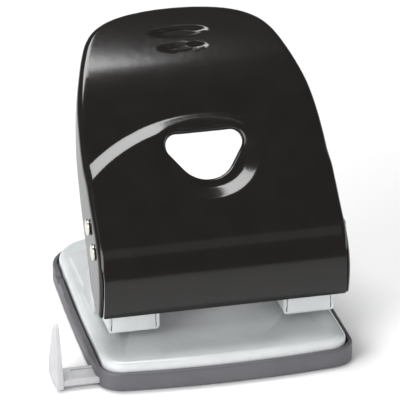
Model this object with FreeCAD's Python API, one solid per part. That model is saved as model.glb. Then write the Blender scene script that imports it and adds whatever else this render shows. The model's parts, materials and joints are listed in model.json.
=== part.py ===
import FreeCAD, Part
import math
import os

# Two-hole paper punch with a pressed-steel handle, millimetres.
# X runs along the row of holes, +Y to the back, +Z up; the origin lies under the tray, midway between the holes.

V = FreeCAD.Vector

# --- chip tray and base plate, seen from above ---
BASE_X = -1.45
HALF_WIDTH = 58.5
WIDEST_Y = -45.0
SIDE_RADIUS = 1900.0
FRONT_Y = -69.0
FRONT_RADIUS = 427.0
REAR_Y = 69.0
REAR_RADIUS = 500.0
FRONT_CORNER = 12.0
REAR_CORNER = 22.0

TRAY_HEIGHT = 8.5
TRAY_FLOOR = 1.3
TRAY_RIM = 1.9
TRAY_WALL = 4.5
TRAY_LEDGE_Z = 6.0
REST_PAD_Z = 6.95
RAIL_THICKNESS = 1.3
TAB_RADIUS = 7.0
TAB_Y = 36.0

PLATE_TOP = 12.5
PLATE_BOTTOM = 7.0
PLATE_SHEET = 1.2
PLATE_INSET = 2.3
PLATE_SIDE_INSET = 3.0
PLATE_EDGE_RADIUS = 3.0
PLATEAU_RISE = 1.0
PLATEAU_HALF_WIDTH = 49.5
PLATEAU_FRONT_Y = 9.0
PLATEAU_CORNER = 8.0
PLATEAU_REAR_Y = 50.0

# --- punches, two of them ---
HOLE_PITCH = 80.0
PUNCH_Y = -26.0
PIN_RADIUS = 2.75
PIN_TIP_Z = 18.0
PIN_TOP_Z = 59.1
RUNNING_GAP = 0.05
GROOVE_RADIUS = 2.2
CLIP_Z = 37.7
CLIP_THICKNESS = 0.8
CLIP_RADIUS = 4.7
SPRING_MEAN_RADIUS = 4.1
SPRING_WIRE_RADIUS = 0.5
SPRING_TURNS = 6

# --- housings ---
HOUSING_HALF_WIDTH = 11.6
HOUSING_SHEET = 1.5
HOUSING_FRONT_Y = -44.3
THROAT_Z = 17.3
THROAT_BACK_Y = -14.0
FOOT_REAR_Y = 8.0
NOTCH_FLOOR_Z = 48.5
FLAP_TOP_Z = 44.0
FLAP_SLIT = 0.9
GUIDE_Z = 39.2
GUIDE_FRONT_Y = -34.0
GUIDE_REAR_Y = -18.0
DIE_THICKNESS = 2.0
RIVET_Y = -3.0
RIVET_OFFSET = 5.5
RIVET_RADIUS = 2.0

# --- pivot and drive rod ---
PIVOT_Y = -38.5
PIVOT_Z = 55.6
ROD_Y = -27.1
ROD_Z = 62.45
SHAFT_RADIUS = 3.0
TUBE_RADIUS = 4.6
EAR_RADIUS = 6.6
HEAD_RADIUS = 3.75
HEAD_THICKNESS = 0.9
AXLE_HEAD_X = 56.65
ROD_HEAD_X = 56.45
WASHER_END_X = 54.8
END_GAP = 0.1

# --- handle ---
HANDLE_HALF_WIDTH = 57.0
HANDLE_SHEET = 1.2
SKIRT_HALF_WIDTH = 55.1
SKIRT_FRONT_Y = -53.6
SKIRT_BOTTOM_Z = 29.0
SLIT_TOP_Z = 52.0
SKIRT_RADIUS = 40.1
ROLL_RADIUS = 28.0
ROLL_Z = 41.2
FACE_TILT = 43.0
FACE_Y = -40.3
FACE_Z = 62.4
FACE_LENGTH = 48.5
TOP_RADIUS = 148.0
TOP_SWEEP = 25.8
PANEL_RISE = 2.5
RIM_DEPTH = 5.5
ARCH_APEX = 51.5
ARCH_RADIUS = 78.8
DISH_CENTRE = 40.0
DISH_HALF_WIDTH = 21.5
DISH_HALF_LENGTH = 26.0
HOLE_TOP = 46.0
HOLE_TOP_HALF = 22.4
HOLE_POINT = 13.6
HOLE_TOP_RADIUS = 5.5
HOLE_POINT_RADIUS = 13.1

# --- paper guide ---
BAR_FRONT_Y = -58.8
BAR_REAR_Y = -46.0
BAR_BOTTOM_Z = 1.6
BAR_TOP_Z = 4.3
CHANNEL_DEPTH = 0.7
BAR_END_X = 36.5
BAR_GAP = 0.3
UPRIGHT_X = -78.0
UPRIGHT_THICKNESS = 3.0
UPRIGHT_FOOT_Z = 0.5
UPRIGHT_TIP_Z = 30.8


def box(x0, x1, y0, y1, z0, z1):
    """Return a box between two corners."""
    return Part.makeBox(x1 - x0, y1 - y0, z1 - z0, V(x0, y0, z0))


def rod_x(radius, x0, x1, y, z):
    """Return a cylinder along X."""
    return Part.makeCylinder(radius, x1 - x0, V(x0, y, z), V(1, 0, 0))


def rod_z(radius, x, y, z0, z1):
    """Return a cylinder along Z."""
    return Part.makeCylinder(radius, z1 - z0, V(x, y, z0), V(0, 0, 1))


def prism_x(points, x0, x1):
    """Extrude a polygon of (y, z) points along X."""
    corners = [V(x0, y, z) for y, z in points]
    face = Part.Face(Part.makePolygon(corners + corners[:1]))
    return face.extrude(V(x1 - x0, 0, 0))


def fuse(first, *others):
    """Fuse solids into one."""
    return first.fuse(list(others)).removeSplitter()


def plan_prism(inset, side_inset, z0, z1):
    """The base's plan outline about its own middle, drawn in by an inset and extruded from z0 to z1."""
    height = z1 - z0
    side_x = SIDE_RADIUS - HALF_WIDTH
    side = SIDE_RADIUS - side_inset
    shape = Part.makeCylinder(side, height, V(side_x, WIDEST_Y, z0))
    shape = shape.common(Part.makeCylinder(side, height, V(-side_x, WIDEST_Y, z0)))
    front = Part.makeCylinder(FRONT_RADIUS - inset, height, V(0, FRONT_Y + FRONT_RADIUS, z0))
    rear = Part.makeCylinder(REAR_RADIUS - inset, height, V(0, REAR_Y - REAR_RADIUS, z0))
    shape = shape.common(front).common(rear)
    upright = [e for e in shape.Edges if e.BoundBox.ZLength > height - 0.01
               and e.BoundBox.XLength + e.BoundBox.YLength < 0.01]
    front_corners = [e for e in upright if e.BoundBox.YMin < 0]
    shape = shape.makeFillet(FRONT_CORNER - inset, front_corners)
    upright = [e for e in shape.Edges if e.BoundBox.ZLength > height - 0.01
               and e.BoundBox.XLength + e.BoundBox.YLength < 0.01]
    rear_corners = [e for e in upright if e.BoundBox.YMin > REAR_Y - REAR_CORNER / 2]
    shape = shape.makeFillet(REAR_CORNER - inset, rear_corners)
    shape.translate(V(BASE_X, 0, 0))
    return shape


def level_edges(shape, z):
    """Edges that lie in the plane at height z."""
    return [e for e in shape.Edges if abs(e.BoundBox.ZMin - z) < 0.01 and abs(e.BoundBox.ZMax - z) < 0.01]


def make_chip_tray():
    """Soft plastic tray: floor, lower wall, thin rim round the plate's skirt, guide rails, pads and a pry notch."""
    tray = plan_prism(0, 0, 0, TRAY_HEIGHT)
    tray = tray.makeFillet(1.2, level_edges(tray, TRAY_HEIGHT))
    tray = tray.makeFillet(0.8, level_edges(tray, 0))
    tray = tray.cut(plan_prism(TRAY_WALL, TRAY_WALL, TRAY_FLOOR, TRAY_HEIGHT))
    tray = tray.cut(plan_prism(TRAY_RIM, TRAY_RIM, TRAY_LEDGE_Z, TRAY_HEIGHT + 1))
    left = BASE_X - HALF_WIDTH
    front_gap = BAR_FRONT_Y - BAR_GAP
    rear_gap = BAR_REAR_Y + BAR_GAP
    tray = tray.cut(box(left - 5, left + 8, front_gap, rear_gap, TRAY_FLOOR, BAR_TOP_Z + BAR_GAP))
    root = TRAY_FLOOR - 0.3
    rail = box(-50, 45, front_gap - RAIL_THICKNESS, front_gap, root, BAR_TOP_Z)
    rail_back = box(-50, 45, rear_gap, rear_gap + RAIL_THICKNESS, root, BAR_TOP_Z)
    pads = [box(BASE_X + x - 5, BASE_X + x + 5, 59, 62.5, root, REST_PAD_Z) for x in (-25, 25)]
    tray = fuse(tray, rail, rail_back, *pads)
    return tray.cut(rod_z(TAB_RADIUS, left - 3.0, TAB_Y, TRAY_LEDGE_Z, TRAY_HEIGHT + 1))


def make_paper_guide():
    """Sliding bar with a channel in its top and an upright stop plate at its outer end."""
    bar = box(UPRIGHT_X + 1, BAR_END_X, BAR_FRONT_Y, BAR_REAR_Y, BAR_BOTTOM_Z, BAR_TOP_Z)
    channel = box(UPRIGHT_X + 8, BAR_END_X - 4, BAR_FRONT_Y + 2.2, BAR_REAR_Y - 2.2,
                  BAR_TOP_Z - CHANNEL_DEPTH, BAR_TOP_Z + 1)
    front = BAR_FRONT_Y
    rear = BAR_REAR_Y
    tip = UPRIGHT_TIP_Z
    inner = UPRIGHT_X + UPRIGHT_THICKNESS
    upright = prism_x([(front - 0.6, UPRIGHT_FOOT_Z), (rear + 6.0, UPRIGHT_FOOT_Z), (rear + 5.4, 6.0),
                       (rear - 3.2, tip - 4.8), (rear - 5.5, tip - 2.5), (front + 4.3, tip), (front + 1.8, tip - 1.5)],
                      UPRIGHT_X, inner)
    wedge = Part.makePolygon([V(inner, front - 10, 6), V(inner + 5, front - 10, 6), V(inner + 5, front - 10, 40),
                              V(UPRIGHT_X + 1.1, front - 10, 40), V(inner, front - 10, 6)])
    taper = Part.Face(wedge).extrude(V(0, 40, 0))
    return fuse(bar.cut(channel), upright).cut(taper)


def make_base_plate():
    """Pressed steel base with a rounded edge, a skirt and a low plateau at the back."""
    outer = plan_prism(PLATE_INSET, PLATE_SIDE_INSET, PLATE_BOTTOM, PLATE_TOP)
    outer = outer.makeFillet(PLATE_EDGE_RADIUS, level_edges(outer, PLATE_TOP))
    inner = plan_prism(PLATE_INSET + PLATE_SHEET, PLATE_SIDE_INSET + PLATE_SHEET, PLATE_BOTTOM,
                       PLATE_TOP - PLATE_SHEET)
    inner = inner.makeFillet(PLATE_EDGE_RADIUS - PLATE_SHEET, level_edges(inner, PLATE_TOP - PLATE_SHEET))
    plate = fuse(outer.cut(inner), plateau(0)).cut(plateau(PLATE_SHEET))
    for x in (-HOLE_PITCH / 2, HOLE_PITCH / 2):
        plate = plate.cut(rod_z(PIN_RADIUS + 0.6, x, PUNCH_Y, 0, PLATE_TOP + 1))
        for rivet_x in (x - RIVET_OFFSET, x + RIVET_OFFSET):
            plate = plate.cut(rod_z(RIVET_RADIUS, rivet_x, RIVET_Y, 0, PLATE_TOP + 1))
    return plate


def plateau(inset):
    """Raised flat of the base plate; the inset gives its inner face."""
    top = PLATE_TOP + PLATEAU_RISE - inset
    bottom = PLATE_TOP - PLATE_SHEET - (0.01 if inset else 0)
    half = PLATEAU_HALF_WIDTH - inset
    block = box(BASE_X - half, BASE_X + half, PLATEAU_FRONT_Y + inset, PLATEAU_REAR_Y - inset, bottom, top)
    upright = [e for e in block.Edges if e.BoundBox.ZLength > 0.1]
    block = block.makeFillet(PLATEAU_CORNER - inset, upright)
    return block.makeChamfer(0.9, level_edges(block, top))


def make_die_plate(x):
    """Hardened die plate under the base sheet, with the die bore."""
    plate = box(x - 10, x + 10, -35, 2, PLATE_TOP - PLATE_SHEET - DIE_THICKNESS, PLATE_TOP - PLATE_SHEET)
    plate = plate.cut(rod_z(PIN_RADIUS + RUNNING_GAP, x, PUNCH_Y, 0, 20))
    for rivet_x in (x - RIVET_OFFSET, x + RIVET_OFFSET):
        plate = plate.cut(rod_z(RIVET_RADIUS, rivet_x, RIVET_Y, 0, 20))
    return plate


def housing_wall(x0, x1):
    """Side wall of a housing with its pivot ear, the drive rod's notch and the foot."""
    wall = prism_x([(HOUSING_FRONT_Y, THROAT_Z), (THROAT_BACK_Y, THROAT_Z), (THROAT_BACK_Y, PLATE_TOP),
                    (FOOT_REAR_Y, PLATE_TOP), (FOOT_REAR_Y, 19.0), (-6.0, 34.0), (-20.5, NOTCH_FLOOR_Z),
                    (-31.9, NOTCH_FLOOR_Z), (-31.9, PIVOT_Z), (HOUSING_FRONT_Y, PIVOT_Z)], x0, x1)
    wall = fuse(wall, rod_x(EAR_RADIUS, x0, x1, PIVOT_Y, PIVOT_Z))
    return wall.cut(rod_x(SHAFT_RADIUS, x0 - 1, x1 + 1, PIVOT_Y, PIVOT_Z))


def make_housing(x):
    """Folded housing: stepped web, two side walls and a front flap, open at the top and back."""
    half = HOUSING_HALF_WIDTH
    sheet = HOUSING_SHEET
    web = prism_x([(HOUSING_FRONT_Y, THROAT_Z), (THROAT_BACK_Y, THROAT_Z), (THROAT_BACK_Y, PLATE_TOP),
                   (FOOT_REAR_Y, PLATE_TOP), (FOOT_REAR_Y, PLATE_TOP + sheet),
                   (THROAT_BACK_Y + sheet, PLATE_TOP + sheet), (THROAT_BACK_Y + sheet, THROAT_Z + sheet),
                   (HOUSING_FRONT_Y, THROAT_Z + sheet)], x - half, x + half)
    housing = fuse(web, housing_wall(x - half, x - half + sheet), housing_wall(x + half - sheet, x + half))
    bends = [e for e in level_edges(housing, THROAT_Z) if e.BoundBox.XLength < 0.01 and e.BoundBox.YLength > 20]
    housing = housing.makeFillet(2.4, bends)
    flap_half = half - sheet
    front = HOUSING_FRONT_Y
    corners = [V(x - flap_half + 0.25, front, THROAT_Z + 2.6), V(x + flap_half - 0.25, front, THROAT_Z + 2.6),
               V(x + flap_half - FLAP_SLIT, front, FLAP_TOP_Z), V(x - flap_half + FLAP_SLIT, front, FLAP_TOP_Z)]
    flap = Part.Face(Part.makePolygon(corners + corners[:1])).extrude(V(0, sheet, 0))
    bend = box(x - flap_half + 0.25, x + flap_half - 0.25, front, front + sheet, THROAT_Z, THROAT_Z + 2.7)
    side_slit = [box(x + side * flap_half - 0.25, x + side * flap_half + 0.25, front - 1, front + sheet,
                     THROAT_Z + sheet, THROAT_Z + 4) for side in (-1, 1)]
    housing = fuse(housing, flap, bend).cut(fuse(*side_slit))
    lower = [e for e in level_edges(housing, THROAT_Z) if e.BoundBox.YLength < 0.01
             and abs(e.BoundBox.YMin - front) < 0.01 and e.BoundBox.XLength > 10]
    housing = housing.makeFillet(1.0, lower)
    housing = housing.cut(rod_z(PIN_RADIUS + RUNNING_GAP, x, PUNCH_Y, 0, THROAT_Z + sheet + 1))
    for rivet_x in (x - RIVET_OFFSET, x + RIVET_OFFSET):
        housing = housing.cut(rod_z(RIVET_RADIUS, rivet_x, RIVET_Y, 0, PLATE_TOP + sheet + 1))
    return housing.cut(guide_tabs(x))


def guide_tabs(x):
    """Tabs of the pin guide, which pass through the housing's walls."""
    return box(x - HOUSING_HALF_WIDTH, x + HOUSING_HALF_WIDTH, PUNCH_Y - 4, PUNCH_Y + 4,
               GUIDE_Z, GUIDE_Z + HOUSING_SHEET)


def make_pin_guide(x):
    """Upper guide of a punch pin, bridging the housing's walls."""
    half = HOUSING_HALF_WIDTH - HOUSING_SHEET
    plate = box(x - half, x + half, GUIDE_FRONT_Y, GUIDE_REAR_Y, GUIDE_Z, GUIDE_Z + HOUSING_SHEET)
    return fuse(plate, guide_tabs(x)).cut(rod_z(PIN_RADIUS + RUNNING_GAP, x, PUNCH_Y, 0, 60))


def make_rivets():
    """Four rivets that hold the housings and the die plates to the base plate."""
    top = PLATE_TOP + HOUSING_SHEET
    bottom = PLATE_TOP - PLATE_SHEET - DIE_THICKNESS
    rivets = []
    for x in (-HOLE_PITCH / 2, HOLE_PITCH / 2):
        for rivet_x in (x - RIVET_OFFSET, x + RIVET_OFFSET):
            head = Part.makeCone(3.4, 2.2, 1.3, V(rivet_x, RIVET_Y, top))
            foot = Part.makeCone(2.4, 3.2, 0.9, V(rivet_x, RIVET_Y, bottom - 0.9))
            rivets.append(fuse(rod_z(RIVET_RADIUS, rivet_x, RIVET_Y, bottom, top), head, foot))
    return Part.makeCompound(rivets)


def make_shaft(y, z, inner):
    """Full-width shaft with formed heads outside the handle's flanges, from the distance inner outwards."""
    outer = inner + HEAD_THICKNESS
    shaft = rod_x(SHAFT_RADIUS, -outer + 0.1, outer - 0.1, y, z)
    heads = []
    for side in (-1, 1):
        head = rod_x(HEAD_RADIUS, min(side * inner, side * outer), max(side * inner, side * outer), y, z)
        rim = [e for e in head.Edges if abs(e.BoundBox.XMin - side * outer) < 0.01
               and abs(e.BoundBox.XMax - side * outer) < 0.01]
        heads.append(head.makeFillet(0.6, rim))
    return fuse(shaft, *heads)


def make_tube(x0, x1):
    """Tube on the pivot axle."""
    bore = rod_x(SHAFT_RADIUS + RUNNING_GAP, x0 - 1, x1 + 1, PIVOT_Y, PIVOT_Z)
    return rod_x(TUBE_RADIUS, x0, x1, PIVOT_Y, PIVOT_Z).cut(bore)


def make_pivot_washers():
    """Spacing washers between the housings and the handle's flanges."""
    inner = HOLE_PITCH / 2 + HOUSING_HALF_WIDTH + END_GAP
    return Part.makeCompound([make_tube(-WASHER_END_X, -inner), make_tube(inner, WASHER_END_X)])


def make_punch_pin(x):
    """Hardened punch pin with a domed top, a clip groove and a hollow-ground tip."""
    pin = rod_z(PIN_RADIUS, x, PUNCH_Y, PIN_TIP_Z, PIN_TOP_Z)
    pin = pin.makeFillet(1.2, level_edges(pin, PIN_TOP_Z))
    groove = rod_z(PIN_RADIUS + 1, x, PUNCH_Y, CLIP_Z, CLIP_Z + CLIP_THICKNESS)
    groove = groove.cut(rod_z(GROOVE_RADIUS, x, PUNCH_Y, CLIP_Z, CLIP_Z + CLIP_THICKNESS))
    hollow = rod_x(6.0, x - 5, x + 5, PUNCH_Y, PIN_TIP_Z - 5.2)
    return pin.cut(groove).cut(hollow)


def make_clip(x):
    """Retaining clip in the pin's groove, open at the back."""
    clip = rod_z(CLIP_RADIUS, x, PUNCH_Y, CLIP_Z, CLIP_Z + CLIP_THICKNESS)
    clip = clip.cut(rod_z(GROOVE_RADIUS, x, PUNCH_Y, CLIP_Z - 1, CLIP_Z + 2))
    return clip.cut(box(x - 1.7, x + 1.7, PUNCH_Y, PUNCH_Y + 6, CLIP_Z - 1, CLIP_Z + 2))


def make_spring(x):
    """Compression spring round a punch pin, from the web to the clip."""
    low = THROAT_Z + HOUSING_SHEET + SPRING_WIRE_RADIUS + 0.05
    high = CLIP_Z - SPRING_WIRE_RADIUS - 0.05
    pitch = (high - low) / SPRING_TURNS
    helix = Part.makeHelix(pitch, high - low, SPRING_MEAN_RADIUS)
    path = Part.Wire(helix.Edges)
    circle = Part.makeCircle(SPRING_WIRE_RADIUS, V(SPRING_MEAN_RADIUS, 0, 0), V(0, 1, 0))
    spring = path.makePipeShell([Part.Wire(circle)], True, True)
    spring.translate(V(x, PUNCH_Y, low))
    return spring


def on_face(shape):
    """Place a shape drawn in the handle face's own frame: x across, y up the face, z outwards."""
    placed = shape.copy()
    to_face = FreeCAD.Placement(V(0, FACE_Y, FACE_Z), FreeCAD.Rotation(V(1, 0, 0), FACE_TILT))
    placed.Placement = to_face.multiply(placed.Placement)
    return placed


def arc_points(cy, cz, radius, start, end):
    """Three points of an arc in the YZ plane, angles in degrees from +Y towards +Z."""
    angles = (start, (start + end) / 2, end)
    return [V(0, cy + radius * math.cos(math.radians(a)), cz + radius * math.sin(math.radians(a))) for a in angles]


def side_solid(offset, half_width, rear):
    """Handle section in the YZ plane, offset from the raised panel's surface, extruded across X."""
    normal = 90.0 + FACE_TILT
    skirt_y = SKIRT_FRONT_Y + SKIRT_RADIUS
    drop = math.degrees(math.asin((ROLL_Z - SKIRT_BOTTOM_Z) / SKIRT_RADIUS))
    skirt = arc_points(skirt_y, ROLL_Z, SKIRT_RADIUS + offset, 180 + drop, 180)
    roll = arc_points(SKIRT_FRONT_Y + ROLL_RADIUS, ROLL_Z, ROLL_RADIUS + offset, 180, normal)
    top_start_y = FACE_Y + FACE_LENGTH * math.cos(math.radians(FACE_TILT))
    top_start_z = FACE_Z + FACE_LENGTH * math.sin(math.radians(FACE_TILT))
    top_cy = top_start_y - TOP_RADIUS * math.cos(math.radians(normal))
    top_cz = top_start_z - TOP_RADIUS * math.sin(math.radians(normal))
    top = arc_points(top_cy, top_cz, TOP_RADIUS + PANEL_RISE + offset, normal, normal - TOP_SWEEP - 3)
    edges = [Part.Arc(*skirt).toShape(), Part.Arc(*roll).toShape(), Part.makeLine(roll[2], top[0]),
             Part.Arc(*top).toShape()]
    end = top[2]
    if rear:
        rim = arc_points(top_cy, top_cz, TOP_RADIUS - RIM_DEPTH, normal - TOP_SWEEP - 3, normal - 9)
        curve = [rim[2], V(0, 2.4, 82.5), V(0, -7.6, 67.0), V(0, -14.6, 57.5), V(0, -24.0, 45.0),
                 V(0, -34.5, 35.0), V(0, -45.0, 30.2)]
        sweep = Part.BSplineCurve()
        sweep.interpolate(curve)
        edges += [Part.makeLine(end, rim[0]), Part.Arc(*rim).toShape(), sweep.toShape(),
                  Part.makeLine(curve[-1], skirt[0])]
    else:
        far = [V(0, 90.0, end.z), V(0, 90.0, -20.0), V(0, skirt[0].y, -20.0)]
        edges += [Part.makeLine(end, far[0]), Part.makeLine(far[0], far[1]), Part.makeLine(far[1], far[2]),
                  Part.makeLine(far[2], skirt[0])]
    face = Part.Face(Part.Wire(Part.__sortEdges__(edges)))
    solid = face.extrude(V(2 * half_width, 0, 0))
    solid.translate(V(-half_width, 0, 0))
    return solid


def outline_prism(inset):
    """The handle's outline square to its face, drawn in by an inset."""
    half = [(56.8, -60.0), (56.3, 0.0), (55.1, 48.0), (52.5, 69.0), (49.7, 80.0), (45.6, 93.0), (41.0, 103.0),
            (34.0, 110.5), (20.0, 115.6), (0.0, 117.0)]
    side = [V(-x + inset, u - (inset if u > 100 else 0), 0) for x, u in half]
    side[-1] = V(0, half[-1][1] - inset, 0)
    other = [V(-p.x, p.y, 0) for p in reversed(side[:-1])]
    side[0] = V(side[0].x, -110.0, 0)
    other[-1] = V(other[-1].x, -110.0, 0)
    curve = Part.BSplineCurve()
    curve.interpolate(side + other)
    wire = Part.Wire([curve.toShape(), Part.makeLine(other[-1], side[0])])
    prism = Part.Face(wire).extrude(V(0, 0, 180))
    prism.translate(V(0, 0, -120))
    return on_face(prism)


def face_ellipse(x, u, half_width, half_length):
    """Elliptical prism square to the handle's face."""
    if half_width >= half_length:
        ellipse = Part.Ellipse(V(x, u, -40), half_width, half_length).toShape()
    else:
        ellipse = Part.Ellipse(V(x, u + half_length, -40), V(x + half_width, u, -40), V(x, u, -40)).toShape()
    return on_face(Part.Face(Part.Wire(ellipse)).extrude(V(0, 0, 80)))


def raised_region(inset):
    """Area of the raised lower panel: under the arch, less the dish round the finger hole."""
    disc = Part.makeCylinder(ARCH_RADIUS - inset, 160, V(0, ARCH_APEX - ARCH_RADIUS, -80))
    low = Part.makeBox(130, 120, 160, V(-65, -120 + 20 - inset, -80))
    dish = face_ellipse(0, DISH_CENTRE, DISH_HALF_WIDTH + inset, DISH_HALF_LENGTH + inset)
    return on_face(fuse(disc, low)).cut(dish)


def finger_hole():
    """Rounded D-shaped hole through the handle's face: a triangle with filleted corners, point down."""
    corners = [V(-HOLE_TOP_HALF, HOLE_TOP, -40), V(HOLE_TOP_HALF, HOLE_TOP, -40), V(0, HOLE_POINT, -40)]
    prism = Part.Face(Part.makePolygon(corners + corners[:1])).extrude(V(0, 0, 80))
    upright = [e for e in prism.Edges if e.BoundBox.ZLength > 70]
    prism = prism.makeFillet(HOLE_TOP_RADIUS, [e for e in upright if e.BoundBox.YMin > HOLE_POINT + 1])
    lowest = [e for e in prism.Edges if e.BoundBox.ZLength > 70 and e.BoundBox.YMax < HOLE_POINT + 1]
    return on_face(prism.makeFillet(HOLE_POINT_RADIUS, lowest))


def make_handle():
    """Pressed handle: rolled skirt, raised lower panel, dished finger hole, side flanges and a rim."""
    rise = -PANEL_RISE
    sheet = HANDLE_SHEET
    outer = fuse(side_solid(rise, 60, True), side_solid(0, 60, True).common(raised_region(0)))
    outer = outer.common(outline_prism(0))
    inner = fuse(side_solid(rise - sheet, 60, False), side_solid(-sheet, 60, False).common(raised_region(sheet)))
    inner = inner.common(outline_prism(sheet))
    handle = outer.cut(inner).cut(finger_hole())
    for side in (-1, 1):
        edges = sorted((side * SKIRT_HALF_WIDTH, side * (HANDLE_HALF_WIDTH - sheet - 0.1)))
        handle = handle.cut(box(edges[0], edges[1], -60, -46, 20, SLIT_TOP_Z))
        handle = handle.cut(rod_x(SHAFT_RADIUS + RUNNING_GAP, -70, 70, PIVOT_Y, PIVOT_Z))
        handle = handle.cut(rod_x(SHAFT_RADIUS, -70, 70, ROD_Y, ROD_Z))
    groove_skin = side_solid(rise, 60, False).cut(side_solid(rise - 0.6, 60, False))
    for u, length in ((93.0, 21.0), (103.0, 26.0)):
        handle = handle.cut(groove_skin.common(face_ellipse(0, u, length / 2, 2.6)))
    return handle


def save(name, shape):
    """Write one sub-part."""
    shape.exportStep(os.path.join("parts", name + ".step"))
    bounds = shape.BoundBox
    print(f"{name:18s} solids {len(shape.Solids)} valid {shape.isValid()} volume {shape.Volume:9.1f} "
          f"y {bounds.YMin:7.2f}..{bounds.YMax:7.2f} z {bounds.ZMin:7.2f}..{bounds.ZMax:7.2f}")


def main():
    os.makedirs("parts", exist_ok=True)
    save("chip_tray", make_chip_tray())
    save("paper_guide", make_paper_guide())
    save("base_plate", make_base_plate())
    save("housing_rivets", make_rivets())
    save("pivot_axle", make_shaft(PIVOT_Y, PIVOT_Z, AXLE_HEAD_X))
    save("drive_rod", make_shaft(ROD_Y, ROD_Z, ROD_HEAD_X))
    tube_end = HOLE_PITCH / 2 - HOUSING_HALF_WIDTH - END_GAP
    save("spacer_tube", make_tube(-tube_end, tube_end))
    save("pivot_washers", make_pivot_washers())
    save("handle", make_handle())
    for side, x in (("left", -HOLE_PITCH / 2), ("right", HOLE_PITCH / 2)):
        save(side + "_housing", make_housing(x))
        save(side + "_die_plate", make_die_plate(x))
        save(side + "_pin_guide", make_pin_guide(x))
        save(side + "_punch_pin", make_punch_pin(x))
        save(side + "_pin_clip", make_clip(x))
        save(side + "_spring", make_spring(x))


main()
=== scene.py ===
import json
import math

import bmesh
import bpy
import numpy as np
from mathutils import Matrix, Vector
from mathutils.geometry import delaunay_2d_cdt


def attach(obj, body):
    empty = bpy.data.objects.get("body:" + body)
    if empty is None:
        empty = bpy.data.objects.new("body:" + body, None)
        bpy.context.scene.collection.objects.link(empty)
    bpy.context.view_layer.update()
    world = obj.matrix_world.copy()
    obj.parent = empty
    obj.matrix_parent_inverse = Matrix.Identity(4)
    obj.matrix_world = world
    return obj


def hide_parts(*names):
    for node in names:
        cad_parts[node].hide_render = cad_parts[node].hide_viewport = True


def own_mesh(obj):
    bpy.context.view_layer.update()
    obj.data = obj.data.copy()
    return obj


# Two-hole desk punch. Lengths are millimetres in the frame of the CAD model; meshes are written in metres.

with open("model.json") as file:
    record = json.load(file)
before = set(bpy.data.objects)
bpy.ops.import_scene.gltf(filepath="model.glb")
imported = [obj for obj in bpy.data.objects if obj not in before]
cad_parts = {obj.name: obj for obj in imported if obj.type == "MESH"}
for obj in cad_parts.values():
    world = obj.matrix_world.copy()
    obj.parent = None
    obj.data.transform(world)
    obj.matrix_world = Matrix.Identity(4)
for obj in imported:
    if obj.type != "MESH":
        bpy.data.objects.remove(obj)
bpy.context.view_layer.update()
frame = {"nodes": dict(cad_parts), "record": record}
MM = 0.001

# --- handle: section through the middle (Y, Z), raised panel's surface ---
SHEET = 1.2
SKIRT_FRONT_Y = -53.6
SKIRT_BOTTOM_Z = 29.0
SKIRT_RADIUS = 40.1
ROLL_RADIUS = 28.0
ROLL_Z = 41.2
FACE_TILT = math.radians(43.0)
FACE_Y = -40.3
FACE_Z = 62.4
FACE_LENGTH = 48.5
TOP_RADIUS = 148.0
PANEL_RISE = 2.5
BEND_RADIUS = 3.0
RIM_DEPTH = 5.5
SLIT_TOP_Z = 52.0
PIVOT_YZ = (-38.5, 55.6)
ROD_YZ = (-27.1, 62.45)
SHAFT_RADIUS = 3.0
SHAFT_PLAY = 0.1
CUTTER_HALF_LENGTH = 70
HANDLE_EDGE = 0.22
SMOOTH_ANGLE = 40
HOLE_X = 40.0
PUNCH_Y = -26.0

ALONG = np.array([math.cos(FACE_TILT), math.sin(FACE_TILT)])
OUTWARD = np.array([-math.sin(FACE_TILT), math.cos(FACE_TILT)])
NORMAL_ANGLE = math.pi / 2 + FACE_TILT


# ------------------------------------------------------------------ mesh helpers
def new_object(name, verts, faces):
    """Make a mesh object from millimetre points."""
    mesh = bpy.data.meshes.new(name)
    mesh.from_pydata([tuple(np.asarray(v, float) * MM) for v in verts], [], faces)
    mesh.update()
    obj = bpy.data.objects.new(name, mesh)
    bpy.context.scene.collection.objects.link(obj)
    return obj


def clean(obj, merge=0.002):
    """Merge doubled points and make the faces point outwards."""
    bm = bmesh.new()
    bm.from_mesh(obj.data)
    bmesh.ops.remove_doubles(bm, verts=bm.verts, dist=merge * MM)
    bmesh.ops.recalc_face_normals(bm, faces=bm.faces)
    bm.to_mesh(obj.data)
    bm.free()
    return obj


def apply_modifiers(obj):
    """Replace the mesh with its evaluated form."""
    depsgraph = bpy.context.evaluated_depsgraph_get()
    mesh = bpy.data.meshes.new_from_object(obj.evaluated_get(depsgraph))
    obj.modifiers.clear()
    old = obj.data
    obj.data = mesh
    mesh.name = obj.name
    bpy.data.meshes.remove(old)
    return obj


def smooth(obj, angle):
    """Shade smooth, with edges sharper than the angle kept crisp."""
    bm = bmesh.new()
    bm.from_mesh(obj.data)
    limit = math.radians(angle)
    for face in bm.faces:
        face.smooth = True
    for edge in bm.edges:
        edge.smooth = len(edge.link_faces) != 2 or edge.calc_face_angle(0.0) < limit
    bm.to_mesh(obj.data)
    bm.free()
    return obj


def bevel(obj, width, angle):
    """Round off the sharp edges."""
    mod = obj.modifiers.new("edge_round", "BEVEL")
    mod.width = width * MM
    mod.segments = 2
    mod.limit_method = "ANGLE"
    mod.angle_limit = math.radians(angle)
    mod.use_clamp_overlap = True
    return apply_modifiers(obj)


def thicken(obj, thickness):
    """Give a sheet its thickness, inwards."""
    mod = obj.modifiers.new("sheet", "SOLIDIFY")
    mod.thickness = thickness * MM
    mod.offset = -1
    mod.use_even_offset = True
    mod.use_quality_normals = True
    return apply_modifiers(obj)


def cut(obj, cutter):
    """Subtract another mesh and remove it."""
    mod = obj.modifiers.new("cut", "BOOLEAN")
    mod.operation = "DIFFERENCE"
    mod.solver = "EXACT"
    mod.object = cutter
    apply_modifiers(obj)
    bpy.data.objects.remove(cutter)
    return obj


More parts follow.
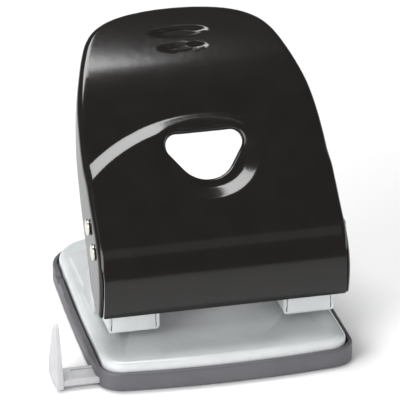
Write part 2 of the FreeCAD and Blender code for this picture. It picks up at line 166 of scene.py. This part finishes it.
def round_bar(name, radius, x0, x1, y, z, count=48):
    """Cylinder along X, for cutting."""
    ring = [(y + radius * math.cos(2 * math.pi * i / count), z + radius * math.sin(2 * math.pi * i / count))
            for i in range(count)]
    verts = [(x0, a, b) for a, b in ring] + [(x1, a, b) for a, b in ring]
    faces = [(i, (i + 1) % count, count + (i + 1) % count, count + i) for i in range(count)]
    faces += [tuple(range(count))[::-1], tuple(range(count, 2 * count))]
    return clean(new_object(name, verts, faces))


def step(x):
    """Smooth step from 0 to 1."""
    x = np.clip(x, 0.0, 1.0)
    return x * x * (3 - 2 * x)


def slope_step(x, ease=0.15):
    """Step from 0 to 1 along a straight slope with eased ends."""
    x = np.clip(x, 0.0, 1.0)
    middle = (x - ease / 2) / (1 - ease)
    low = x * x / (2 * ease * (1 - ease))
    high = 1 - (1 - x) ** 2 / (2 * ease * (1 - ease))
    return np.where(x < ease, low, np.where(x > 1 - ease, high, middle))


CURVE_STEPS = 24


def curve_through(points, spacing, closed):
    """Points evenly spaced along a centripetal Catmull-Rom curve through the given ones."""
    pts = [np.asarray(p, float) for p in points]
    if closed:
        pts = [pts[-1]] + pts + pts[:2]
    else:
        pts = [2 * pts[0] - pts[1]] + pts + [2 * pts[-1] - pts[-2]]
    dense = []
    for a, b, c, d in zip(pts, pts[1:], pts[2:], pts[3:]):
        t0, t1 = 0.0, np.linalg.norm(b - a) ** 0.5
        t2 = t1 + np.linalg.norm(c - b) ** 0.5
        t3 = t2 + np.linalg.norm(d - c) ** 0.5
        for t in np.linspace(t1, t2, CURVE_STEPS, endpoint=False):
            a1 = (t1 - t) / (t1 - t0) * a + (t - t0) / (t1 - t0) * b
            a2 = (t2 - t) / (t2 - t1) * b + (t - t1) / (t2 - t1) * c
            a3 = (t3 - t) / (t3 - t2) * c + (t - t2) / (t3 - t2) * d
            b1 = (t2 - t) / (t2 - t0) * a1 + (t - t0) / (t2 - t0) * a2
            b2 = (t3 - t) / (t3 - t1) * a2 + (t - t1) / (t3 - t1) * a3
            dense.append((t2 - t) / (t2 - t1) * b1 + (t - t1) / (t2 - t1) * b2)
    dense.append(pts[-2])
    dense = np.array(dense)
    length = np.concatenate([[0], np.cumsum(np.linalg.norm(np.diff(dense, axis=0), axis=1))])
    count = max(8, int(round(length[-1] / spacing)))
    at = np.linspace(0, length[-1], count + 1)
    if closed:
        at = at[:-1]
    return np.stack([np.interp(at, length, dense[:, i]) for i in range(dense.shape[1])], axis=1)


def inward_normals(line, closed):
    """Unit normals in the plane, to the right of the way the line runs."""
    if closed:
        tangent = np.roll(line, -1, axis=0) - np.roll(line, 1, axis=0)
    else:
        tangent = np.gradient(line, axis=0)
    tangent /= np.linalg.norm(tangent, axis=1)[:, None]
    return np.stack([tangent[:, 1], -tangent[:, 0]], axis=1)


# ------------------------------------------------------------------ handle
SKIRT_DROP = math.asin((ROLL_Z - SKIRT_BOTTOM_Z) / SKIRT_RADIUS)
SKIRT_LENGTH = SKIRT_RADIUS * SKIRT_DROP
ROLL_LENGTH = ROLL_RADIUS * (math.pi - NORMAL_ANGLE)
ROLL_CENTRE = np.array([SKIRT_FRONT_Y + ROLL_RADIUS, ROLL_Z])
FACE_START = ROLL_CENTRE + ROLL_RADIUS * OUTWARD
TOP_START = np.array([FACE_Y, FACE_Z]) + FACE_LENGTH * ALONG + PANEL_RISE * OUTWARD
STRAIGHT_LENGTH = float(np.dot(TOP_START - FACE_START, ALONG))
TOP_CENTRE = TOP_START - (TOP_RADIUS + PANEL_RISE) * OUTWARD
FACE_ZERO = SKIRT_LENGTH + ROLL_LENGTH + float(np.dot(np.array([FACE_Y, FACE_Z]) - FACE_START, ALONG))


def section(s):
    """Point (Y, Z) and outward normal of the handle's section at developed length s."""
    if s <= SKIRT_LENGTH:
        angle = math.pi + SKIRT_DROP - s / SKIRT_RADIUS
        normal = np.array([math.cos(angle), math.sin(angle)])
        return np.array([SKIRT_FRONT_Y + SKIRT_RADIUS, ROLL_Z]) + SKIRT_RADIUS * normal, normal
    s -= SKIRT_LENGTH
    if s <= ROLL_LENGTH:
        angle = math.pi - s / ROLL_RADIUS
        normal = np.array([math.cos(angle), math.sin(angle)])
        return ROLL_CENTRE + ROLL_RADIUS * normal, normal
    s -= ROLL_LENGTH
    if s <= STRAIGHT_LENGTH:
        return FACE_START + s * ALONG, OUTWARD
    s -= STRAIGHT_LENGTH
    angle = NORMAL_ANGLE - s / (TOP_RADIUS + PANEL_RISE)
    normal = np.array([math.cos(angle), math.sin(angle)])
    return TOP_CENTRE + (TOP_RADIUS + PANEL_RISE) * normal, normal


# Half of the developed outline: (half width, distance up the face from its foot).
OUTLINE = [(57.0, -FACE_ZERO), (56.8, -20.0), (56.2, 0.0), (55.9, 25.0), (55.2, 46.0), (53.1, 66.0),
           (49.9, 80.0), (46.1, 93.0), (43.2, 100.5), (38.8, 107.3), (32.3, 112.6), (23.8, 116.3),
           (12.0, 118.7), (0.0, 119.4)]
OUTLINE_SPACING = 1.5
# Depth of the side flange's rear edge below the face, against the distance up the face.
FLANGE_U = [-25.4, -14.4, 0.0, 15.5, 27.0, 44.9, 55.0, 62.1, 71.3, 80.0, 130.0]
FLANGE_DEPTH = [20.3, 24.0, 23.8, 21.1, 18.9, 14.4, 11.2, 8.6, 6.1, RIM_DEPTH, RIM_DEPTH]
# The raised panel ends at an arc; past it the face lies lower.
ARCH_APEX = 51.8
ARCH_RADIUS = 78.8
ARCH_SLOPE = 7.4
# Oval dish round the finger hole: centre (X, distance up the face), half width, half length.
DISH = (0.0, 34.0, 24.6, 22.0)
DISH_WALL = 8.0
DISH_FLOOR = -0.05
DISH_TOP_FLOOR = 0.40
DISH_FLOOR_RAMP = 14.0
# Lens-shaped grooves: distance up the face, half length, half width.
GROOVES = [(91.6, 10.8, 2.6), (101.3, 13.2, 3.0)]
GROOVE_DEPTH = 1.3
GROOVE_REACH = 1.08
GROOVE_SIDE = 0.45
# Finger hole: corners (X, distance up the face, corner radius).
HOLE_CORNERS = [(-22.4, 46.0, 5.5), (0.0, 13.6, 13.1), (22.4, 46.0, 5.5)]
HOLE_SPACING = 0.8
LIP_RADIUS = 1.5
LIP_ANGLES = [90, 70, 50, 32, 15, 0]
# Rows of points across the bend between face and flange; the slit leaves one row of quads out.
BEND_ANGLES = [90, 76, 63, 50, 36.9, 21.5, 11, 0]
SLIT_ANGLE = 36.9
FLANGE_ROWS = 12
# Points inside the face: from, to and spacing along the sheet.
GRID_BANDS = [(1.5, FACE_ZERO + 4, 1.6), (FACE_ZERO + 4.6, FACE_ZERO + 58, 0.9),
              (FACE_ZERO + 59, FACE_ZERO + 86, 1.6), (FACE_ZERO + 87, FACE_ZERO + 117, 0.9)]
GRID_HALF_WIDTH = 54.6
GRID_FINE_X = 1.05
GRID_CLEARANCE = 0.6
BOTTOM_SPACING = 2.0


def relief(x, s):
    """Height of the pressed surface above the raised panel, zero or less."""
    u = s - FACE_ZERO
    radial = np.hypot(x, u - (ARCH_APEX - ARCH_RADIUS)) - ARCH_RADIUS
    radial = np.where(u < ARCH_APEX - ARCH_RADIUS, -50.0, radial)
    arch = slope_step(0.5 - radial / ARCH_SLOPE)
    cx, cu, a, b = DISH
    g = np.hypot((x - cx) / a, (u - cu) / b)
    gap = (g - 1) * np.where(g > 1e-6, np.hypot(x - cx, u - cu) / np.maximum(g, 1e-6), a)
    dish = slope_step(-gap / DISH_WALL)
    floor_level = DISH_FLOOR + (DISH_TOP_FLOOR - DISH_FLOOR) * step((u - cu) / DISH_FLOOR_RAMP)
    raised = arch * (1 - (1 - floor_level) * dish)
    height = -PANEL_RISE * (1 - raised)
    for groove_u, half_length, half_width in GROOVES:
        rho = np.hypot(x / half_length, (u - groove_u) / half_width)
        height = height - GROOVE_DEPTH * step((GROOVE_REACH - rho) / GROOVE_SIDE)
    return height


def on_handle(x, s, height):
    """Point in space for a place on the developed sheet."""
    point, normal = section(s)
    yz = point + height * normal
    return (x, yz[0], yz[1])


def rounded_polygon(corners, spacing):
    """Closed outline with arcs at its corners."""
    pts = []
    count = len(corners)
    for i, (x, y, radius) in enumerate(corners):
        here = np.array([x, y])
        before = np.array(corners[i - 1][:2]) - here
        after = np.array(corners[(i + 1) % count][:2]) - here
        before /= np.linalg.norm(before)
        after /= np.linalg.norm(after)
        half = math.acos(np.clip(np.dot(before, after), -1, 1)) / 2
        middle = (before + after) / np.linalg.norm(before + after)
        centre = here + middle * radius / math.sin(half)
        start = here + before * radius / math.tan(half) - centre
        end = here + after * radius / math.tan(half) - centre
        a0 = math.atan2(start[1], start[0])
        turn = math.atan2(end[1], end[0]) - a0
        turn = (turn + math.pi) % (2 * math.pi) - math.pi
        steps = max(6, int(abs(turn) * radius / spacing))
        pts += [centre + radius * np.array([math.cos(a0 + turn * t), math.sin(a0 + turn * t)])
                for t in np.linspace(0, 1, steps + 1)]
    dense = []
    for a, b in zip(pts, pts[1:] + pts[:1]):
        parts = max(1, int(np.linalg.norm(b - a) / spacing))
        dense += [a + (b - a) * k / parts for k in range(parts)]
    return np.array(dense)


def flange_rear(s, local_point, local_normal):
    """Rear edge of the flange opposite a place on the front edge."""
    u = s - FACE_ZERO
    start = float(np.dot(FACE_START - np.array([FACE_Y, FACE_Z]), ALONG))
    if s < SKIRT_LENGTH + ROLL_LENGTH:
        share = s / (SKIRT_LENGTH + ROLL_LENGTH)
        u = FLANGE_U[0] + (start - FLANGE_U[0]) * share
        foot = np.array([FACE_Y, FACE_Z]) + u * ALONG
        return foot - np.interp(u, FLANGE_U, FLANGE_DEPTH) * OUTWARD
    depth = float(np.interp(u, FLANGE_U, FLANGE_DEPTH)) + PANEL_RISE
    return local_point - depth * local_normal


def flange_row(outline, k):
    """Row of flange points, from the bend (0) to the rear edge (FLANGE_ROWS)."""
    points = []
    for x, s in outline:
        point, normal = section(max(s, 0.0))
        front = point + (float(relief(x, s)) - BEND_RADIUS) * normal
        rear = flange_rear(s, point, normal)
        yz = front + (rear - front) * k / FLANGE_ROWS
        points.append((x, yz[0], yz[1]))
    return points


def rolled_row(line, normals, radius, angle):
    """Row of points round a bend beside a line, from the wall (90 degrees) to the face (0 degrees)."""
    delta = radius * (1 - math.sin(math.radians(angle)))
    depth = radius * (1 - math.cos(math.radians(angle)))
    points = []
    for x, s in line + delta * normals:
        s = max(s, 0.0)
        points.append(on_handle(x, s, float(relief(x, s)) - depth))
    return points


def row_quads(first, rows, closed, left_out=()):
    """Quads between neighbouring rows that start at the vertex number given."""
    count = len(rows[0])
    faces = []
    for r in range(len(rows) - 1):
        low = first + r * count
        high = low + count
        for i in range(count if closed else count - 1):
            j = (i + 1) % count
            if (r, i) not in left_out:
                faces.append((low + i, low + j, high + j, high + i))
    return faces


def grid_points(loop, hole):
    """Points inside the face and outside the hole, clear of both boundaries."""
    grid = []
    for s0, s1, pitch in GRID_BANDS:
        x_pitch = pitch if pitch > 1 else GRID_FINE_X
        for s in np.arange(s0, s1, pitch):
            for x in np.arange(-GRID_HALF_WIDTH, GRID_HALF_WIDTH + 0.1, x_pitch):
                grid.append((x, s))
    grid = np.array(grid)
    grid = grid[inside(grid, loop) & ~inside(grid, hole)]
    clear = np.ones(len(grid), bool)
    for x, s in np.concatenate([loop, hole]):
        clear &= np.hypot(grid[:, 0] - x, grid[:, 1] - s) > GRID_CLEARANCE
    return grid[clear]


def face_triangles(loop, hole):
    """Sheet points and triangles of the pressed face, with the finger hole left open."""
    flat = [tuple(p) for p in np.concatenate([loop, hole, grid_points(loop, hole)])]
    n_loop, n_hole = len(loop), len(hole)
    edges = [(i, (i + 1) % n_loop) for i in range(n_loop)]
    edges += [(n_loop + i, n_loop + (i + 1) % n_hole) for i in range(n_hole)]
    out = delaunay_2d_cdt([Vector(p) for p in flat], edges, [], 2, 1e-5)
    points = np.array([tuple(v) for v in out[0]])
    centres = np.array([points[list(f)].mean(axis=0) for f in out[2]])
    triangles = [f for f, gone in zip(out[2], inside(centres, hole)) if not gone]
    return points, triangles


def handle_shell():
    """Outer surface of the pressed handle: flanges, bends, hole lip and face."""
    half = [(-w, u + FACE_ZERO) for w, u in OUTLINE]
    outline = curve_through(half + [(-x, s) for x, s in reversed(half[:-1])], OUTLINE_SPACING, False)
    outline[0, 1] = outline[-1, 1] = 0.0
    inward = inward_normals(outline, False)
    inward[0] = (1, 0)
    inward[-1] = (-1, 0)
    side_rows = [flange_row(outline, k) for k in range(FLANGE_ROWS, 0, -1)]
    side_rows += [rolled_row(outline, inward, BEND_RADIUS, angle) for angle in BEND_ANGLES]
    slit_s = SKIRT_LENGTH + ROLL_RADIUS * math.asin((SLIT_TOP_Z - ROLL_Z) / ROLL_RADIUS)
    slit_row = FLANGE_ROWS + BEND_ANGLES.index(SLIT_ANGLE)
    slit = {(slit_row, i) for i in range(len(outline) - 1) if max(outline[i, 1], outline[i + 1, 1]) < slit_s}

    hole_edge = rounded_polygon(HOLE_CORNERS, HOLE_SPACING)
    hole_edge[:, 1] += FACE_ZERO
    hole_out = -inward_normals(hole_edge, True)
    if np.sum((hole_edge - hole_edge.mean(axis=0)) * hole_out) < 0:
        hole_out = -hole_out
    lip_rows = [rolled_row(hole_edge, hole_out, LIP_RADIUS, angle) for angle in LIP_ANGLES]

    inner = outline + BEND_RADIUS * inward
    inner[:, 1] = np.maximum(inner[:, 1], 0.0)
    bottom = [(x, 0.0) for x in np.arange(inner[-1, 0], inner[0, 0], -BOTTOM_SPACING)[1:-1]]
    loop = np.concatenate([inner, bottom])
    points, triangles = face_triangles(loop, hole_edge + LIP_RADIUS * hole_out)

    verts = [p for row in side_rows + lip_rows for p in row]
    faces = row_quads(0, side_rows, False, slit)
    faces += row_quads(len(side_rows) * len(outline), lip_rows, True)
    first = len(verts)
    heights = relief(points[:, 0], points[:, 1])
    verts += [on_handle(x, s, h) for (x, s), h in zip(points, heights)]
    faces += [tuple(first + i for i in f) for f in triangles]
    return clean(new_object("handle_shell", verts, faces), 0.02)


def make_handle():
    """Pressed handle as one sheet with its thickness, shaft holes and softened edges."""
    obj = handle_shell()
    point_outwards(obj)
    obj = thicken(obj, SHEET)
    clean(obj, 0.001)
    for y, z in (PIVOT_YZ, ROD_YZ):
        cut(obj, round_bar("shaft_cut", SHAFT_RADIUS + SHAFT_PLAY, -CUTTER_HALF_LENGTH,
                           CUTTER_HALF_LENGTH, y, z))
    obj = bevel(obj, HANDLE_EDGE, 55)
    return smooth(obj, SMOOTH_ANGLE)


def point_outwards(obj):
    """Turn the sheet so that its front faces away from the inside."""
    mesh = obj.data
    face = max(mesh.polygons, key=lambda f: f.center.z)
    if face.normal.z < 0:
        mesh.flip_normals()


def inside(points, polygon):
    """Which points lie inside a polygon."""
    x, y = points[:, 0], points[:, 1]
    result = np.zeros(len(points), bool)
    for (x0, y0), (x1, y1) in zip(polygon, np.roll(polygon, -1, axis=0)):
        crosses = (y0 > y) != (y1 > y)
        if abs(y1 - y0) > 1e-12:
            result ^= crosses & (x < (x1 - x0) * (y - y0) / (y1 - y0) + x0)
    return result


# ------------------------------------------------------------------ the other pieces
SOFT_MERGE = 0.003
SOFT_FLAT_ANGLE = 1.0
SOFT_EDGE_ANGLE = 35.0


def softened(node, width):
    """Copy of a CAD node with its points merged, its flats dissolved and its edges rounded over."""
    mesh = frame["nodes"][node].data.copy()
    obj = bpy.data.objects.new(node + "_soft", mesh)
    bpy.context.scene.collection.objects.link(obj)
    bm = bmesh.new()
    bm.from_mesh(mesh)
    bmesh.ops.remove_doubles(bm, verts=bm.verts, dist=SOFT_MERGE * MM)
    bmesh.ops.dissolve_limit(bm, angle_limit=math.radians(SOFT_FLAT_ANGLE), use_dissolve_boundaries=False,
                             verts=bm.verts, edges=bm.edges)
    bmesh.ops.recalc_face_normals(bm, faces=bm.faces)
    bm.to_mesh(mesh)
    bm.free()
    mod = obj.modifiers.new("edge_round", "BEVEL")
    mod.width = width * MM
    mod.segments = 2
    mod.limit_method = "ANGLE"
    mod.angle_limit = math.radians(SOFT_EDGE_ANGLE)
    mod.use_clamp_overlap = True
    mod.miter_outer = "MITER_ARC"
    apply_modifiers(obj)
    return smooth(obj, SMOOTH_ANGLE)


SPRING_LOW = 18.8
SPRING_HIGH = 37.7
SPRING_TURNS = 6.0
WIRE_RADIUS = 0.5
COIL_RADIUS = 4.1


def make_spring(name, x):
    """Compression spring with closed, ground ends, as a round wire swept along a helix."""
    steps, sides = 400, 12
    verts, faces = [], []
    low = SPRING_LOW + WIRE_RADIUS
    height = SPRING_HIGH - SPRING_LOW - 2 * WIRE_RADIUS
    for i in range(steps + 1):
        t = i / steps
        turn = 2 * math.pi * (SPRING_TURNS + 2) * t
        rise = float(np.interp(t * (SPRING_TURNS + 2), [0, 1, SPRING_TURNS + 1, SPRING_TURNS + 2],
                               [0, 2.1 * WIRE_RADIUS, height - 2.1 * WIRE_RADIUS, height]))
        radial = np.array([math.cos(turn), math.sin(turn), 0.0])
        centre = np.array([x, PUNCH_Y, low + rise]) + COIL_RADIUS * radial
        for k in range(sides):
            a = 2 * math.pi * k / sides
            p = centre + WIRE_RADIUS * (math.cos(a) * radial + math.sin(a) * np.array([0.0, 0.0, 1.0]))
            verts.append(tuple(p))
    for i in range(steps):
        for k in range(sides):
            j = (k + 1) % sides
            faces.append((i * sides + k, i * sides + j, (i + 1) * sides + j, (i + 1) * sides + k))
    faces.append(tuple(range(sides))[::-1])
    faces.append(tuple(range(steps * sides, (steps + 1) * sides)))
    return smooth(clean(new_object(name, verts, faces)), 50)


# ------------------------------------------------------------------ materials
def material(name):
    """New node material; returns it with its tree and its principled shader."""
    mat = bpy.data.materials.new(name)
    mat.use_nodes = True
    return mat, mat.node_tree, mat.node_tree.nodes["Principled BSDF"]


def noise(tree, scale, detail=3.0, rough=0.5):
    """Noise texture in object space."""
    coords = tree.nodes.new("ShaderNodeTexCoord")
    tex = tree.nodes.new("ShaderNodeTexNoise")
    tex.inputs["Scale"].default_value = scale
    tex.inputs["Detail"].default_value = detail
    tex.inputs["Roughness"].default_value = rough
    tree.links.new(coords.outputs["Object"], tex.inputs["Vector"])
    return tex


def ramp(tree, source, stops):
    """Colour ramp fed by a value."""
    node = tree.nodes.new("ShaderNodeValToRGB")
    while len(node.color_ramp.elements) < len(stops):
        node.color_ramp.elements.new(0.5)
    for element, (position, colour) in zip(node.color_ramp.elements, stops):
        element.position = position
        element.color = (*colour, 1.0)
    tree.links.new(source, node.inputs["Fac"])
    return node.outputs["Color"]


def map_range(tree, source, low, high):
    """Spread a 0 to 1 value over another range."""
    node = tree.nodes.new("ShaderNodeMapRange")
    node.inputs["To Min"].default_value = low
    node.inputs["To Max"].default_value = high
    tree.links.new(source, node.inputs["Value"])
    return node.outputs["Result"]


def bump(tree, shader, source, strength, distance):
    """Bump from a height."""
    node = tree.nodes.new("ShaderNodeBump")
    node.inputs["Strength"].default_value = strength
    node.inputs["Distance"].default_value = distance
    tree.links.new(source, node.inputs["Height"])
    tree.links.new(node.outputs["Normal"], shader.inputs["Normal"])


def enamel(name, low, high, roughness, coat, specular=0.5):
    """Glossy stoved paint on steel: faint mottling, soft orange peel and fine changes of gloss."""
    mat, tree, shader = material(name)
    mottle = noise(tree, 90.0, 4.0)
    tree.links.new(ramp(tree, mottle.outputs["Fac"], [(0.3, low), (0.7, high)]), shader.inputs["Base Color"])
    fine = noise(tree, 420.0, 5.0, 0.6)
    tree.links.new(map_range(tree, fine.outputs["Fac"], roughness * 0.75, roughness * 1.35),
                   shader.inputs["Roughness"])
    peel = noise(tree, 260.0, 2.0)
    bump(tree, shader, peel.outputs["Fac"], 0.04, 0.0004)
    shader.inputs["Coat Weight"].default_value = coat
    shader.inputs["Coat Roughness"].default_value = 0.06
    shader.inputs["Specular IOR Level"].default_value = specular
    return mat


def moulded(name, low, high, roughness, grain, strength):
    """Moulded plastic with a fine spark-eroded grain."""
    mat, tree, shader = material(name)
    cloud = noise(tree, 60.0, 3.0)
    tree.links.new(ramp(tree, cloud.outputs["Fac"], [(0.3, low), (0.7, high)]), shader.inputs["Base Color"])
    texture = noise(tree, grain, 3.0, 0.6)
    tree.links.new(map_range(tree, texture.outputs["Fac"], roughness * 0.85, roughness * 1.2),
                   shader.inputs["Roughness"])
    bump(tree, shader, texture.outputs["Fac"], strength, 0.0003)
    return mat


def steel(name, low, high, roughness, scratch):
    """Bare or plated steel with fine brushing."""
    mat, tree, shader = material(name)
    cloud = noise(tree, 140.0, 4.0)
    tree.links.new(ramp(tree, cloud.outputs["Fac"], [(0.3, low), (0.7, high)]), shader.inputs["Base Color"])
    shader.inputs["Metallic"].default_value = 1.0
    fine = noise(tree, 900.0, 4.0, 0.7)
    tree.links.new(map_range(tree, fine.outputs["Fac"], roughness * 0.7, roughness * 1.4),
                   shader.inputs["Roughness"])
    bump(tree, shader, fine.outputs["Fac"], scratch, 0.0002)
    return mat


def grey(level, tint):
    """Colour from a level and a tint."""
    return tuple(level * t for t in tint)


MATERIALS = {
    "black_paint": enamel("black_paint", grey(0.0075, (1.12, 1.0, 0.90)), grey(0.0095, (1.12, 1.0, 0.90)),
                          0.13, 0.0, 0.38),
    "grey_paint": enamel("grey_paint", grey(0.57, (0.965, 1.0, 1.01)), grey(0.61, (0.965, 1.0, 1.01)),
                         0.22, 0.4),
    "tray_plastic": moulded("tray_plastic", grey(0.088, (0.98, 0.95, 1.05)), grey(0.106, (0.98, 0.95, 1.05)),
                            0.42, 1500.0, 0.12),
    "guide_plastic": moulded("guide_plastic", grey(0.45, (0.99, 0.99, 1.02)), grey(0.51, (0.99, 0.99, 1.02)),
                             0.38, 1200.0, 0.06),
    "bright_steel": steel("bright_steel", (0.62, 0.60, 0.55), (0.74, 0.71, 0.65), 0.24, 0.05),
    "tool_steel": steel("tool_steel", (0.46, 0.46, 0.47), (0.56, 0.56, 0.57), 0.28, 0.06),
    "spring_steel": steel("spring_steel", (0.36, 0.36, 0.37), (0.48, 0.48, 0.49), 0.33, 0.06),
}


def finish(obj, slot_name, body, replaced):
    """Give a piece its material, body and the CAD nodes it stands for."""
    obj.data.materials.clear()
    obj.data.materials.append(MATERIALS[slot_name])
    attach(obj, body)
    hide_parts(*replaced)
    return obj


# Pieces made again from their CAD nodes: rounding of the edges in millimetres.
SOFT_EDGES = {"base_plate": 0.25, "chip_tray": 0.35, "paper_guide": 0.45, "housing_rivets": 0.35,
              "pivot_axle": 0.25, "drive_rod": 0.25, "spacer_tube": 0.2, "pivot_washers": 0.2}
for side in ("left", "right"):
    SOFT_EDGES.update({side + "_housing": 0.3, side + "_die_plate": 0.2, side + "_pin_guide": 0.25,
                       side + "_punch_pin": 0.15, side + "_pin_clip": 0.12})
BODY_OF = {node: body for body, nodes in frame["record"]["behaviour"]["bodies"].items() for node in nodes}
SLOT_OF = {entry["node"]: entry["material_slot"] for entry in frame["record"]["subparts"]}


# ------------------------------------------------------------------ camera, floor and light
AZIMUTH = math.radians(-13.6)
ELEVATION = math.radians(25.3)
TARGET = Vector((-0.45, -4.97, 59.4)) * MM
DISTANCE = 1.794


def make_camera():
    """Long lens from the front left, a little above."""
    data = bpy.data.cameras.new("camera")
    data.lens = 360.0
    data.sensor_width = 36.0
    data.clip_end = 50.0
    camera = bpy.data.objects.new("camera", data)
    back = Vector((math.sin(AZIMUTH) * math.cos(ELEVATION), -math.cos(AZIMUTH) * math.cos(ELEVATION),
                   math.sin(ELEVATION)))
    camera.location = TARGET + back * DISTANCE
    camera.rotation_euler = (-back).to_track_quat("-Z", "Y").to_euler()
    bpy.context.scene.collection.objects.link(camera)
    bpy.context.scene.camera = camera


LIGHT_AIM = Vector((0.0, 0.0, 0.05))


def area_light(name, direction, distance, size, power):
    """Rectangular soft light."""
    data = bpy.data.lights.new(name, "AREA")
    data.shape = "RECTANGLE"
    data.size, data.size_y = size
    data.energy = power
    light = bpy.data.objects.new(name, data)
    place = Vector(direction).normalized() * distance
    light.location = LIGHT_AIM + place
    light.rotation_euler = (-place).to_track_quat("-Z", "Y").to_euler()
    bpy.context.scene.collection.objects.link(light)
    return light


FLOOR_HALF_WIDTH = 2500


def make_studio():
    """Pale floor, dim room and soft lights. The two fills don't show in reflections."""
    w = FLOOR_HALF_WIDTH
    floor = new_object("floor", [(-w, -w, 0), (w, -w, 0), (w, w, 0), (-w, w, 0)], [(0, 1, 2, 3)])
    floor.location.z = -0.0004
    mat, tree, shader = material("studio_floor")
    paper = noise(tree, 3.0, 2.0)
    tree.links.new(ramp(tree, paper.outputs["Fac"], [(0.3, (0.86, 0.86, 0.86)), (0.7, (0.88, 0.88, 0.88))]),
                   shader.inputs["Base Color"])
    shader.inputs["Roughness"].default_value = 0.9
    floor.data.materials.append(mat)
    world = bpy.data.worlds.new("room")
    world.use_nodes = True
    nodes, links = world.node_tree.nodes, world.node_tree.links
    coords = nodes.new("ShaderNodeTexCoord")
    split = nodes.new("ShaderNodeSeparateXYZ")
    links.new(coords.outputs["Generated"], split.inputs["Vector"])
    shade = ramp(world.node_tree, split.outputs["Z"],
                 [(0.0, (0.92, 0.93, 0.95)), (0.01, (0.15, 0.15, 0.155)),
                  (0.6, (0.15, 0.15, 0.155)), (1.0, (0.12, 0.12, 0.125))])
    links.new(shade, nodes["Background"].inputs["Color"])
    nodes["Background"].inputs["Strength"].default_value = 1.0
    bpy.context.scene.world = world
    area_light("top_softbox", (-0.10, 0.24, 0.96), 1.3, (0.60, 0.56), 15.0)
    area_light("left_front_panel", (-0.85, -0.60, 0.55), 1.5, (0.9, 0.9), 16.0)
    fill = area_light("front_fill", (0.05, -0.90, 0.28), 1.8, (1.8, 0.9), 11.0)
    fill.visible_glossy = False
    side = area_light("side_fill", (-0.90, -0.45, 0.20), 1.5, (1.2, 0.6), 5.0)
    side.visible_glossy = False
    area_light("right_panel", (0.95, -0.20, 0.12), 1.5, (1.2, 0.3), 4.0)
    area_light("front_strip", (0.21, -0.65, 0.73), 2.2, (1.4, 0.60), 0.9)
    bpy.context.scene.view_settings.view_transform = "Standard"


make_camera()
make_studio()
handle = make_handle()
finish(handle, "black_paint", "handle", ("handle",))
for node, rounding in SOFT_EDGES.items():
    finish(softened(node, rounding), SLOT_OF[node], BODY_OF[node], (node,))
for side, hole_x in (("left", -HOLE_X), ("right", HOLE_X)):
    spring = make_spring(side + "_coil", hole_x)
    finish(spring, "spring_steel", "base", (side + "_spring",))
    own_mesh(spring)
